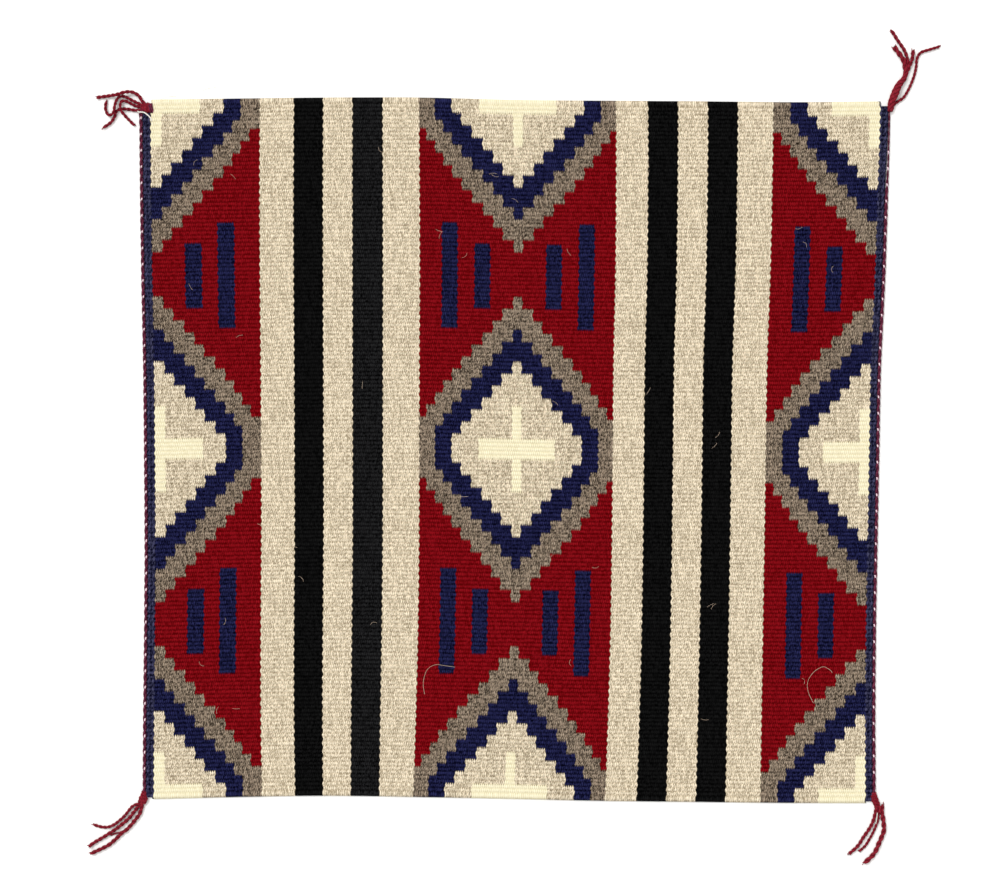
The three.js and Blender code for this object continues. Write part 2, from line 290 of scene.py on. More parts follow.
# The diamonds are stepped. Counted outwards from the middle, a step is three ribs high, and the first
# ones are wider than those next to the stripes.
STEP_RIBS = 3
STEPS = 10
MIDDLE_PICKS = 9.0
INNER_PICKS = 9.7
INNER_STEPS = 6
OUTER_PICKS = 8.0

# From one row of diamonds to the next, and how far each one reaches from its row, in ribs less three
# for each step. The two inner ones end before the stripes, at a step.
DIAMOND_EVERY = 85.5
DIAMONDS = [("grey", 37.25, 11), ("navy", 29.25, 9), ("oatmeal_mottled", 21.25, 7)]
CROSS_HIGH = 10.75  # ribs from the row, in the middle column
ARM_HIGH = 2.75

# Upright bars of navy in the red fields, on both sides of a column: from and to so many picks from
# its middle, and ribs from a row of diamonds
BARS = [(26, 42, 34.75), (57, 73, 29.75)]

# Weft-faced wool tapestry. The wefts lie over each rib side by side as narrow beads, two picks
# apart, and change places from one rib to the next, which gives every colour a toothed edge.
cloth_wool = bpy.data.materials.new("wool_tapestry_weft_faced")
cloth_wool.use_nodes = True
tree = cloth_wool.node_tree
tree.nodes.clear()
INTERLOCK = 0.28  # how far a bead reaches into the next rib, in ribs
RIB_ROUND = 1.25  # ribs to half a wave of the light on a rib, so that its edges aren't quite dark
TWINE_PICKS = 4.0  # width of one of the two twined rows in each end band
TWINE_RIBS = 2.0  # from one turn of a twined row to the next
TWINE_LEAN = 0.9  # how far a turn leans along its row, in ribs
TWINE_SHARE = 0.5  # how much the twining shows among the beads, in painted light and shade on its turns and in its shape
FIBRE_LEAN = 0.9  # picks that a fibre moves sideways in crossing one rib, from the yarn's twist
FIBRE_GRAIN = (1.15, 1.6, 1.0)  # specks of fibre to a pick and to a rib
STREAK_GRAIN = 0.11  # streaks to a rib, along a pick

# How much the share of light fibres varies by bead, by pick and by fibre, and how much painted
# light across a rib lightens its crest and darkens its edges
VARIES_BEAD = 0.46
VARIES_PICK = 0.6
VARIES_FIBRE = 4.4
PAINTED_CREST_FROM = 0.7  # as a share of a rib's height
PAINTED_CREST_NATURAL = 0.15
PAINTED_CREST_DYED = 0.55
FUZZ_RELIEF = 0.35  # height of the fuzz as a share of a bead's

weave_uv = add_node(tree, "ShaderNodeAttribute", attribute_name="weave").outputs["Vector"]
weave_at = add_node(tree, "ShaderNodeSeparateXYZ", {0: weave_uv})
pick, rib = weave_at.outputs["X"], weave_at.outputs["Y"]

# Which rib a point belongs to, with the toothed line between two ribs
even_rib = add_node(tree, MATH, {0: rib}, operation="FLOOR")
in_rib = add_node(tree, MATH, {0: rib}, operation="FRACT")
odd = add_node(tree, MATH, {0: even_rib, 1: 2.0}, operation="FLOORED_MODULO")
sign = add_node(tree, MATH, {0: odd, 1: -2.0, 2: 1.0}, operation="MULTIPLY_ADD")
pick_wave = wave(tree, pick, math.pi, "COSINE")
tooth = add_node(tree, MATH, {0: pick_wave, 1: sign}, operation="MULTIPLY")
reach = add_node(tree, MATH, {0: tooth, 1: INTERLOCK}, operation="MULTIPLY")
lowest = add_node(tree, MATH, {0: 0.0, 1: reach}, operation="SUBTRACT")
highest = add_node(tree, MATH, {0: 1.0, 1: reach}, operation="ADD")
before = add_node(tree, MATH, {0: in_rib, 1: lowest}, operation="LESS_THAN")
after = add_node(tree, MATH, {0: in_rib, 1: highest}, operation="GREATER_THAN")
rib_back = add_node(tree, MATH, {0: even_rib, 1: before}, operation="SUBTRACT")
own_rib = add_node(tree, MATH, {0: rib_back, 1: after}, operation="ADD")

# Which bead of that rib, and how far across the bead
own_odd = add_node(tree, MATH, {0: own_rib, 1: 2.0}, operation="FLOORED_MODULO")
from_first = add_node(tree, MATH, {0: pick, 1: own_odd}, operation="SUBTRACT")
bead_place = add_node(tree, MATH, {0: from_first, 1: 0.5}, operation="MULTIPLY")
bead = add_node(tree, MATH, {0: bead_place}, operation="ROUND")
across = add_node(tree, MATH, {0: bead_place, 1: bead}, operation="SUBTRACT")
own_pick = add_node(tree, MATH, {0: bead, 1: 2.0, 2: own_odd}, operation="MULTIPLY_ADD")

# How round the yarn stands there across its rib
rib_middle = add_node(tree, MATH, {0: own_rib, 1: 0.5}, operation="ADD")
rib_centred = add_node(tree, MATH, {0: rib, 1: rib_middle}, operation="SUBTRACT")
rib_round = wave(tree, rib_centred, math.pi / RIB_ROUND, "COSINE")


def set_steps(node, stops):
    """Makes a ramp of flat steps, each (position, colour)."""
    ramp = node.color_ramp
    ramp.interpolation = "CONSTANT"
    while len(ramp.elements) > 1:
        ramp.elements.remove(ramp.elements[-1])
    for k, (position, colour) in enumerate(stops):
        element = ramp.elements[0] if k == 0 else ramp.elements.new(position)
        element.position = position
        element.color = colour


# The stripes, the pick's way from the nearest column of diamonds, and the rib's way from their rows
stripes = 0.0
for first, name in STRIPES:
    reached = add_node(tree, MATH, {0: own_pick, 1: first - 0.5}, operation="GREATER_THAN")
    stripes = add_node(tree, "ShaderNodeMix", {"Factor": reached, 2: stripes, 3: SHELF[name]})
from_columns = []
from_column = float(PICKS)
for middle, arm in COLUMNS:
    past = add_node(tree, MATH, {0: own_pick, 1: middle}, operation="SUBTRACT")
    away = add_node(tree, MATH, {0: past}, operation="ABSOLUTE")
    from_columns.append((away, arm))
    from_column = add_node(tree, MATH, {0: from_column, 1: away}, operation="MINIMUM")
from_row = add_node(tree, MATH, {0: rib_middle, 1: DIAMOND_EVERY / 2}, operation="PINGPONG")

# The step that a pick is on, from 0 in the middle of a column to the last one at the stripes
steps_out = 0.0
for wide, start, before in (
    (INNER_PICKS, MIDDLE_PICKS / 2, 0),
    (OUTER_PICKS, MIDDLE_PICKS / 2 + INNER_STEPS * INNER_PICKS, INNER_STEPS),
):
    counted = {0: from_column, 1: 1 / wide, 2: before - start / wide}
    steps_here = add_node(tree, MATH, counted, operation="MULTIPLY_ADD")
    steps_out = add_node(tree, MATH, {0: steps_out, 1: steps_here}, operation="MAXIMUM")
whole_steps = add_node(tree, MATH, {0: steps_out}, operation="CEIL")
step = add_node(tree, "ShaderNodeClamp", {"Value": whole_steps, "Min": 0.0, "Max": float(STEPS)})
in_field, in_end = (
    add_node(tree, MATH, {0: stripes, 1: SHELF[yarn], 2: SHELF_STEP / 2}, operation="COMPARE")
    for yarn in ("red", "end_navy")
)


def woven_over(chart, limits, yarn):
    """The chart with another yarn where, in a red field, the first of every pair is the smaller."""
    where = in_field
    for small, large in limits:
        within = add_node(tree, MATH, {0: small, 1: large}, operation="LESS_THAN")
        where = add_node(tree, MATH, {0: where, 1: within}, operation="MULTIPLY")
    return add_node(tree, "ShaderNodeMix", {"Factor": where, 2: chart, 3: SHELF[yarn]})


chart = stripes
for first, last, ribs in BARS:
    chart = woven_over(chart, [(first, from_column), (from_column, last), (ribs, from_row)], "navy")
stepped = add_node(tree, MATH, {0: step, 1: STEP_RIBS, 2: from_row}, operation="MULTIPLY_ADD")
for yarn, ribs, steps in DIAMONDS:
    chart = woven_over(chart, [(stepped, ribs), (step, steps - 0.5)], yarn)
chart = woven_over(chart, [(step, 0.5), (from_row, CROSS_HIGH)], "cream")
for away, arm in from_columns:
    chart = woven_over(chart, [(away, arm), (from_row, ARM_HIGH)], "cream")

# The end bands are twined: in each of their two rows the wefts turn about one another over two warps
twine_place = add_node(tree, MATH, {0: pick, 1: 1 / TWINE_PICKS}, operation="MULTIPLY")
in_twine = add_node(tree, MATH, {0: twine_place}, operation="FRACT")
twine_round = wave(tree, in_twine, math.pi, "SINE")
twine_along = add_node(tree, MATH, {0: in_twine, 1: TWINE_LEAN, 2: rib}, operation="MULTIPLY_ADD")
twine_wave = wave(tree, twine_along, math.pi / TWINE_RIBS, "SINE")
twine_crest = add_node(tree, MATH, {0: twine_wave}, operation="ABSOLUTE")
twine_dome = add_node(tree, MATH, {0: twine_round, 1: twine_crest}, operation="MULTIPLY")
# Painted light and shade on the twined turns: the colour is lighter where they stand highest and darker
# between them
twine_over = add_node(tree, MATH, {0: twine_dome, 1: 0.5}, operation="SUBTRACT")
painted_twine_light = add_node(tree, MATH, {0: twine_over, 1: in_end}, operation="MULTIPLY")

# The yarn's colour with painted light: how much of the light fibre shows at this bead, along this pick
# and in the lie of its fibres, plus painted light and shade across each rib and on the twined turns
bead_cell = add_node(tree, "ShaderNodeCombineXYZ", {"X": own_pick, "Y": own_rib})
bead_chance = add_node(tree, "ShaderNodeTexWhiteNoise", {"Vector": bead_cell}, noise_dimensions="2D")
pick_line = add_node(tree, MATH, {0: rib, 1: STREAK_GRAIN}, operation="MULTIPLY")
pick_cell = add_node(tree, "ShaderNodeCombineXYZ", {"X": own_pick, "Y": pick_line})
pick_streak = add_node(
    tree, "ShaderNodeTexNoise",
    {"Vector": pick_cell, "Scale": 0.9, "Detail": 2.0, "Roughness": 0.5}, noise_dimensions="2D",
)
leaning = add_node(tree, MATH, {0: rib, 1: FIBRE_LEAN, 2: pick}, operation="MULTIPLY_ADD")
fibre_line = add_node(tree, "ShaderNodeCombineXYZ", {"X": leaning, "Y": rib})
fibre_place = add_node(tree, "ShaderNodeVectorMath", {0: fibre_line, 1: FIBRE_GRAIN}, operation="MULTIPLY")
fibres = add_node(
    tree, "ShaderNodeTexNoise",
    {"Vector": fibre_place, "Scale": 1.0, "Detail": 4.0, "Roughness": 0.72}, noise_dimensions="2D",
)
dyed = add_node(tree, MATH, {0: chart, 1: SHELF["grey"] - SHELF_STEP / 2}, operation="LESS_THAN")
# Painted light across each rib: the colour is lighter at its crest and darker towards its edges, more so
# on the dyed yarns
painted_crest_share = add_node(tree, "ShaderNodeMix", {"Factor": dyed, 2: PAINTED_CREST_NATURAL, 3: PAINTED_CREST_DYED})
painted_crest_light = add_node(tree, MATH, {0: rib_round, 1: PAINTED_CREST_FROM}, operation="SUBTRACT")
fibres_and_painted_light = 0.5
for value, share, middle in (
    (bead_chance, VARIES_BEAD, 0.5), (painted_twine_light, TWINE_SHARE, 0.0), (pick_streak, VARIES_PICK, 0.5),
    (painted_crest_light, painted_crest_share, 0.0), (fibres, VARIES_FIBRE, 0.5),
):
    centred = add_node(tree, MATH, {0: value, 1: middle}, operation="SUBTRACT")
    fibres_and_painted_light = add_node(tree, MATH, {0: centred, 1: share, 2: fibres_and_painted_light}, operation="MULTIPLY_ADD")
fibres_and_painted_light.use_clamp = True
palette = []
for shade in (0, 1):
    shelf = add_node(tree, "ShaderNodeValToRGB", {"Fac": chart})
    set_steps(shelf, [
        (max(0, SHELF[yarn] - SHELF_STEP / 2), linear(shades[shade])) for yarn, shades in YARNS.items()
    ])
    palette.append(shelf)
yarn_colour_and_painted_light = add_node(
    tree, "ShaderNodeMix", {"Factor": fibres_and_painted_light, 6: palette[0], 7: palette[1]}, data_type="RGBA"
)

# Painted shade: the colour is darkened where the yarn dips between two beads or two ribs, as light
# reaches less of it there, and less so for a light yarn, which passes more of it on into its own dips
bead_round = wave(tree, across, math.pi, "COSINE")
bead_dome = add_node(tree, MATH, {0: bead_round, 1: rib_round}, operation="MULTIPLY")
twine_share = add_node(tree, MATH, {0: in_end, 1: TWINE_SHARE}, operation="MULTIPLY")
dome = add_node(tree, "ShaderNodeMix", {"Factor": twine_share, 2: bead_dome, 3: twine_dome})
open_to_light = add_node(
    tree, "ShaderNodeMapRange",
    {"Value": dome, "From Min": 0.0, "From Max": 0.75, "To Min": 0.42, "To Max": 1.0},
)
shut_off = add_node(tree, MATH, {0: 1.0, 1: open_to_light}, operation="SUBTRACT")
passed_on = add_node(
    tree, "ShaderNodeVectorMath", {0: yarn_colour_and_painted_light.outputs[2], "Scale": shut_off}, operation="SCALE"
)
all_light = add_node(tree, "ShaderNodeVectorMath", {0: passed_on, 1: open_to_light}, operation="ADD")
colour_with_painted_shade = add_node(
    tree, "ShaderNodeVectorMath", {0: yarn_colour_and_painted_light.outputs[2], 1: all_light}, operation="MULTIPLY"
)
fuzz = add_node(
    tree, "ShaderNodeTexNoise",
    {"Vector": fibre_place, "Scale": 3.5, "Detail": 3.0, "Roughness": 0.7}, noise_dimensions="2D",
)
relief = add_node(tree, MATH, {0: fuzz, 1: FUZZ_RELIEF, 2: dome}, operation="MULTIPLY_ADD")
bump = add_node(tree, "ShaderNodeBump", {"Strength": 0.55, "Distance": 0.5 * MM, "Height": relief})
surface = add_node(tree, "ShaderNodeBsdfPrincipled", {
    "Base Color": colour_with_painted_shade, "Roughness": 0.95, "Specular IOR Level": 0.01, "Normal": bump,
})
add_node(tree, "ShaderNodeOutputMaterial", {"Surface": surface})

woven_cloth = grown("rug_cloth", cloth_mesh, ribs_tree, {
    "Thickness": THICK, "Valley": VALLEY_DEEP, "Uneven": UNEVEN, "Wool": cloth_wool,
})
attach(woven_cloth, "root")
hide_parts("woven_cloth")


# Loose fibres. Short ends of wool stand up all over the cloth from the hand-spun yarn, each with the
# colour of the yarn that it comes from.

FIBRE_WIDE = 0.03  # width of a fibre as a share of its length
FIBRE_LONG = 1.7 * MM  # the longest ones on the cloth
FIBRE_DENSITY = 7000.0  # to a square metre of cloth


def over_floor(tree, geometry):
    """The same shape, pressed flat where it would be under the floor."""
    at = add_node(tree, "ShaderNodeSeparateXYZ", {0: add_node(tree, "GeometryNodeInputPosition")})
    height = add_node(tree, MATH, {0: at.outputs["Z"], 1: 0.0}, operation="MAXIMUM")
    kept_at = add_node(
        tree, "ShaderNodeCombineXYZ", {"X": at.outputs["X"], "Y": at.outputs["Y"], "Z": height}
    )
    return add_node(tree, "GeometryNodeSetPosition", {"Geometry": geometry, "Position": kept_at})


def loose_fibres(tree, surface, density, long, seed):
    """One curved fibre strewn over a surface, longer and shorter, and turned all ways."""
    bow = add_node(tree, "GeometryNodeCurveQuadraticBezier", {
        "Resolution": 4, "Start": (0.0, 0.0, 0.0), "Middle": (0.15, 0.0, 0.5), "End": (0.7, 0.1, 0.6),
    })
    ring = add_node(
        tree, "GeometryNodeCurvePrimitiveCircle", {"Resolution": 3, "Radius": FIBRE_WIDE}, mode="RADIUS"
    )
    fibre = add_node(tree, "GeometryNodeCurveToMesh", {"Curve": bow, "Profile Curve": ring})
    lit = add_node(
        tree, "GeometryNodeStoreNamedAttribute", {"Geometry": fibre, "Name": "openness", "Value": 1.0},
        data_type="FLOAT", domain="POINT",
    )
    roots = add_node(
        tree, "GeometryNodeDistributePointsOnFaces", {"Mesh": surface, "Density": density, "Seed": seed}
    )
    turn = add_node(
        tree, "FunctionNodeRandomValue",
        {"Min": (-0.5, -0.5, 0.0), "Max": (0.5, 0.5, 2 * math.pi), "Seed": seed}, data_type="FLOAT_VECTOR",
    )
    turned = add_node(
        tree, "FunctionNodeRotateRotation", {"Rotation": roots.outputs["Rotation"], "Rotate By": turn},
        rotation_space="LOCAL",
    )
    share = add_node(tree, "FunctionNodeRandomValue", {2: 0.4, 3: 1.0, "Seed": seed}, data_type="FLOAT")
    size = add_node(tree, MATH, {0: share.outputs[1], 1: long}, operation="MULTIPLY")
    standing = add_node(tree, "GeometryNodeInstanceOnPoints", {
        "Points": roots, "Instance": lit, "Rotation": turned, "Scale": size,
    })
    return add_node(tree, "GeometryNodeRealizeInstances", {"Geometry": standing})


fuzz_tree, given = new_tree("cloth_fuzz", {"Density": "Float", "Length": "Float", "Wool": "Material"})
strewn = loose_fibres(fuzz_tree, given["Geometry"], given["Density"], given["Length"], 11)
end_tree(fuzz_tree, over_floor(fuzz_tree, strewn), given["Wool"])
cloth_fuzz = grown("rug_fuzz", woven_cloth.data, fuzz_tree, {
    "Density": FIBRE_DENSITY, "Length": FIBRE_LONG, "Wool": cloth_wool,
})
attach(cloth_fuzz, "root")


# The end cords. Two dark red yarns twined along each warp end, one over and one under at every turn,
# which hold the loops of the warps. They run on into the corner knots.

CORD_WIDE = 2.6 * MM
CORD_OUT = (2.6 * MM, 3.0 * MM)  # from the warp ends, left and right, to the cord's outer side
CORD_TURN = 4  # ribs to a full turn of the two yarns
CORD_POINTS = 48
CORD_LIFT = 1.45 * MM  # of the cord's heart over the floor
PLY_SHARES = {1: 1.0, 2: 0.6, 4: 0.45}  # radius of a ply as a share of its yarn's, by their count


def plied(route, wide, turn, plies=2):
    """A yarn: its heart's points, with each ply's radius and the plies' distance from the heart."""
    share = PLY_SHARES[plies]
    widths = np.broadcast_to(wide, len(route))
    return {
        "route": route, "turn": turn, "plies": plies,
        "thick": widths / 2 * share, "spread": widths / 2 * (1 - share),
    }


def single(route, wide):
    """A yarn or hair of one ply, whose turn doesn't show."""
    return plied(route, wide, 1.0, plies=1)


def lines_of(name, yarns):
    """A mesh of open lines, one to a yarn, whose points carry the yarn's measures."""
    mesh = bpy.data.meshes.new(name + "_lines")
    edges = []
    first = 0
    for yarn in yarns:
        edges += [(k, k + 1) for k in range(first, first + len(yarn["route"]) - 1)]
        first += len(yarn["route"])
    mesh.from_pydata([point for yarn in yarns for point in yarn["route"]], edges, [])
    for key, kind in (("turn", "FLOAT"), ("thick", "FLOAT"), ("spread", "FLOAT"), ("plies", "INT")):
        values = np.concatenate([np.broadcast_to(yarn[key], len(yarn["route"])) for yarn in yarns])
        mesh.attributes.new(key, kind, "POINT").data.foreach_set("value", values)
    return mesh


# The tree that spins a yarn along a line: the line is rounded and divided, doubled for each ply, and
# each ply is led around the heart and given its thickness
yarn_tree, given = new_tree(
    "plied_yarn", {"Step": "Float", "Fuzz": "Float", "Fuzz Length": "Float", "Wool": "Material"}
)
rail = add_node(yarn_tree, "GeometryNodeMeshToCurve", {"Mesh": given["Geometry"]})
rounded = add_node(yarn_tree, "GeometryNodeCurveSplineType", {"Curve": rail}, spline_type="CATMULL_ROM")
even = add_node(
    yarn_tree, "GeometryNodeResampleCurve", {"Curve": rounded, "Length": given["Step"]}, mode="LENGTH"
)
measures = {
    key: add_node(yarn_tree, "GeometryNodeInputNamedAttribute", {"Name": key}, data_type="FLOAT")
    for key in ("turn", "thick", "spread", "plies")
}
ply_count = add_node(yarn_tree, "GeometryNodeInputNamedAttribute", {"Name": "plies"}, data_type="INT")
copies = add_node(
    yarn_tree, "GeometryNodeDuplicateElements", {"Geometry": even, "Amount": ply_count}, domain="SPLINE"
)
place = add_node(yarn_tree, "GeometryNodeInputPosition")
hearts = add_node(
    yarn_tree, "GeometryNodeStoreNamedAttribute", {"Geometry": copies, "Name": "heart", "Value": place},
    data_type="FLOAT_VECTOR", domain="POINT",
)
along = add_node(yarn_tree, "GeometryNodeSplineParameter").outputs["Length"]
turns = add_node(yarn_tree, MATH, {0: along, 1: measures["turn"]}, operation="DIVIDE")
ply_number = copies.outputs["Duplicate Index"]
ply_start = add_node(yarn_tree, MATH, {0: ply_number, 1: measures["plies"]}, operation="DIVIDE")
turned = add_node(yarn_tree, MATH, {0: turns, 1: ply_start}, operation="ADD")
normal = add_node(yarn_tree, "GeometryNodeInputNormal")
tangent = add_node(yarn_tree, "GeometryNodeInputTangent")
binormal = add_node(yarn_tree, "ShaderNodeVectorMath", {0: tangent, 1: normal}, operation="CROSS_PRODUCT")
led = []
for side, operation in ((normal, "COSINE"), (binormal, "SINE")):
    part = wave(yarn_tree, turned, 2 * math.pi, operation)
    reach = add_node(yarn_tree, MATH, {0: part, 1: measures["spread"]}, operation="MULTIPLY")
    led.append(add_node(yarn_tree, "ShaderNodeVectorMath", {0: side, "Scale": reach}, operation="SCALE"))
offset = add_node(yarn_tree, "ShaderNodeVectorMath", {0: led[0], 1: led[1]}, operation="ADD")
twisted = add_node(yarn_tree, "GeometryNodeSetPosition", {"Geometry": hearts, "Offset": offset})
ring = add_node(
    yarn_tree, "GeometryNodeCurvePrimitiveCircle", {"Resolution": 7, "Radius": 1.0}, mode="RADIUS"
)
tubes = add_node(yarn_tree, "GeometryNodeCurveToMesh", {
    "Curve": twisted, "Profile Curve": ring, "Scale": measures["thick"], "Fill Caps": True,
})
heart = add_node(yarn_tree, "GeometryNodeInputNamedAttribute", {"Name": "heart"}, data_type="FLOAT_VECTOR")
from_heart = add_node(yarn_tree, "ShaderNodeVectorMath", {0: place, 1: heart}, operation="DISTANCE")
full = add_node(yarn_tree, MATH, {0: measures["thick"], 1: measures["spread"]}, operation="ADD")
openness = add_node(yarn_tree, MATH, {0: from_heart.outputs["Value"], 1: full}, operation="DIVIDE")
spun = add_node(
    yarn_tree, "GeometryNodeStoreNamedAttribute",
    {"Geometry": tubes, "Name": "openness", "Value": openness}, data_type="FLOAT", domain="POINT",
)
smooth = add_node(yarn_tree, "GeometryNodeSetShadeSmooth", {"Geometry": spun})
fibres = loose_fibres(yarn_tree, spun, given["Fuzz"], given["Fuzz Length"], 5)
joined = add_node(yarn_tree, "GeometryNodeJoinGeometry", {"Geometry": smooth})
yarn_tree.links.new(fibres.outputs[0], joined.inputs["Geometry"])
end_tree(yarn_tree, over_floor(yarn_tree, joined), given["Wool"])


def spun_wool(name, dark, light):
    """A plied wool yarn: mottled by its fibres, with painted shade that darkens it in the groove between
    its plies.
    """
    material = bpy.data.materials.new(name)
    material.use_nodes = True
    tree = material.node_tree
    tree.nodes.clear()
    at = add_node(tree, "ShaderNodeTexCoord").outputs["Object"]
    mottle = add_node(
        tree, "ShaderNodeTexNoise", {"Vector": at, "Scale": 900.0, "Detail": 3.0, "Roughness": 0.7}
    )
    share = add_node(tree, "ShaderNodeMapRange", {"Value": mottle, "From Min": 0.3, "From Max": 0.7})
    wool = add_node(
        tree, "ShaderNodeMix", {"Factor": share, 6: linear(dark), 7: linear(light)}, data_type="RGBA"
    )
    # Painted shade: the colour darkens towards the yarn's heart, in the groove between its plies
    outward = add_node(tree, "ShaderNodeAttribute", attribute_name="openness").outputs["Fac"]
    lit = add_node(
        tree, "ShaderNodeMapRange",
        {"Value": outward, "From Min": 0.35, "From Max": 0.95, "To Min": 0.25, "To Max": 1.0},
    )
    colour_with_painted_shade = add_node(tree, "ShaderNodeVectorMath", {0: wool.outputs[2], "Scale": lit}, operation="SCALE")
    hairy = add_node(
        tree, "ShaderNodeTexNoise", {"Vector": at, "Scale": 2600.0, "Detail": 2.0, "Roughness": 0.6}
    )
    bump = add_node(tree, "ShaderNodeBump", {"Strength": 0.4, "Distance": 0.2 * MM, "Height": hairy})
    surface = add_node(tree, "ShaderNodeBsdfPrincipled", {
        "Base Color": colour_with_painted_shade, "Roughness": 0.95, "Specular IOR Level": 0.02, "Normal": bump,
    })
    add_node(tree, "ShaderNodeOutputMaterial", {"Surface": surface})
    return material


YARN_FUZZ = 90000.0  # loose fibres to a square metre of yarn
YARN_FUZZ_LONG = 1.6 * MM


def yarn_piece(name, yarns, wool, step=0.6 * MM, fuzz=YARN_FUZZ):
    """A plain mesh piece of spun yarns, with a ring of points at every step, riding on the rug."""
    obj = grown(name, lines_of(name, yarns), yarn_tree, {
        "Step": step, "Fuzz": fuzz, "Fuzz Length": YARN_FUZZ_LONG, "Wool": wool,
    })
    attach(obj, "root")
    return obj


cord_wool = spun_wool("wool_yarn_plied_dark_red", "#320f20", "#7e384e")
RIB_WIDE = 2.81 * MM
CORDS = [
    {"side": "left", "edge": 0, "out": -1, "top": 0.2316, "bottom": -0.2354,
     "into_top": (-0.2528, 0.2346), "into_bottom": (-0.2542, -0.2382), "first_wide": 1.0,
     "first_loop": 4},
    {"side": "right", "edge": 1, "out": 1, "top": 0.2322, "bottom": -0.2372,
     "into_top": (0.2601, 0.2342), "into_bottom": (0.2498, -0.2394), "first_wide": 0.55,
     "first_loop": 12},
]
THINNED = (0, 0.08, 0.13)  # shares of a cord's way: the right one is thin at first, then widens
for cord in CORDS:
    shares = np.linspace(0, 1, CORD_POINTS)
    thinned = np.interp(shares, THINNED, (cord["first_wide"], cord["first_wide"], 1))
    from_ends = CORD_OUT[cord["edge"]] - CORD_WIDE * thinned / 2
    x = through(WARP_ENDS[:, cord["edge"]], shares) + cord["out"] * from_ends
    y = cord["top"] + shares * (cord["bottom"] - cord["top"])
    route = [(*cord["into_top"], CORD_LIFT)]
    route += [(x[k], y[k], CORD_LIFT) for k in range(CORD_POINTS)]
    route += [(*cord["into_bottom"], CORD_LIFT)]
    widths = CORD_WIDE * np.concatenate([thinned[:1], thinned, thinned[-1:]])
    piece = yarn_piece(
        "end_cord_" + cord["side"] + "_twined", [plied(route, widths, CORD_TURN * RIB_WIDE)],
        cord_wool,
    )
    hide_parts("end_cord_" + cord["side"])
    cord["x"] = x
    cord["y"] = y


# The warp loops. Undyed wool warp comes out between the two yarns of each end cord at every turn,
# and shows there as a short pale stitch.

LOOP_EVERY = 4  # ribs
LOOP_LONG = 1.5 * MM
LOOP_WIDE = 1.0 * MM
LOOP_LEAN = 0.12 * MM
LOOP_IN = 0.2 * MM  # from the cord's heart towards the cloth
LOOP_ENDS_UP = 0.5 * MM  # over the cord's heart
LOOP_MIDDLE_UP = 1.35 * MM
warp_wool = spun_wool("wool_warp_undyed", "#cfaab6", "#eed6dc")
for cord in CORDS:
    top, bottom = SELVAGES[-cord["edge"]]
    loops = []
    for rib in np.arange(cord["first_loop"], RIBS - 3, LOOP_EVERY):
        y = top + share_of(rib) * (bottom - top)
        x = np.interp(-y, -cord["y"], cord["x"]) - cord["out"] * LOOP_IN
        route = [
            (x - cord["out"] * LOOP_LEAN, y + LOOP_LONG / 2, CORD_LIFT + LOOP_ENDS_UP),
            (x, y, CORD_LIFT + LOOP_MIDDLE_UP),
            (x + cord["out"] * LOOP_LEAN, y - LOOP_LONG / 2, CORD_LIFT + LOOP_ENDS_UP),
        ]
        loops.append(single(route, LOOP_WIDE))
    yarn_piece("warp_loops_" + cord["side"], loops, warp_wool, step=0.3 * MM, fuzz=0.0)


# The tassels. The ends of the cords are knotted at each corner, and lie loose beyond it as two-ply
# red yarns with cut, slightly opened ends.

tassel_wool = spun_wool("wool_yarn_plied_red", "#540c16", "#952a37")
STRAND_TURN = 2.6  # widths of a yarn to a full turn of its two plies
LIFT_STEP = 2.5 * MM
PLUMP = 1.1  # how much wider a soft yarn is than the solid that stands for it
TRUNK_PLUMP = 0.92  # the same for the yarns of a trunk, which are twisted hard
TRUNK_TURN = 14 * MM
KNOT_YARN = 2.0 * MM
KNOT_SLANT = 0.35
KNOT_STEPS = 14  # points to a turn around the knot
KNOT_FLATTEST = 0.2 * MM  # the least width of a winding's turn
CORE_YARNS = (-0.3, 0.0, 0.3)  # where the yarns under the winding lie, as shares of the knot's width
CORE_WIDE = 0.55  # their width, at most, as a share of the knot's
CORE_TURN = 5 * MM

# The fibres at a cut end start inside the yarn, lean away from its heart and bow. FRAY_SHORTEST is a
# share of their length, FRAY_IN and FRAY_ASIDE are shares of the yarn's width.
FRAYS = 5
FRAY_LONG = 1.3 * MM
FRAY_WIDE = 0.45 * MM
FRAY_SHORTEST = 0.3
FRAY_IN = 0.5
FRAY_ASIDE = 0.3
FRAY_LEAN = (0.7, 1.3)  # at the root and at the tip, as shares of the way aside, like the bow
FRAY_BOW = 0.2

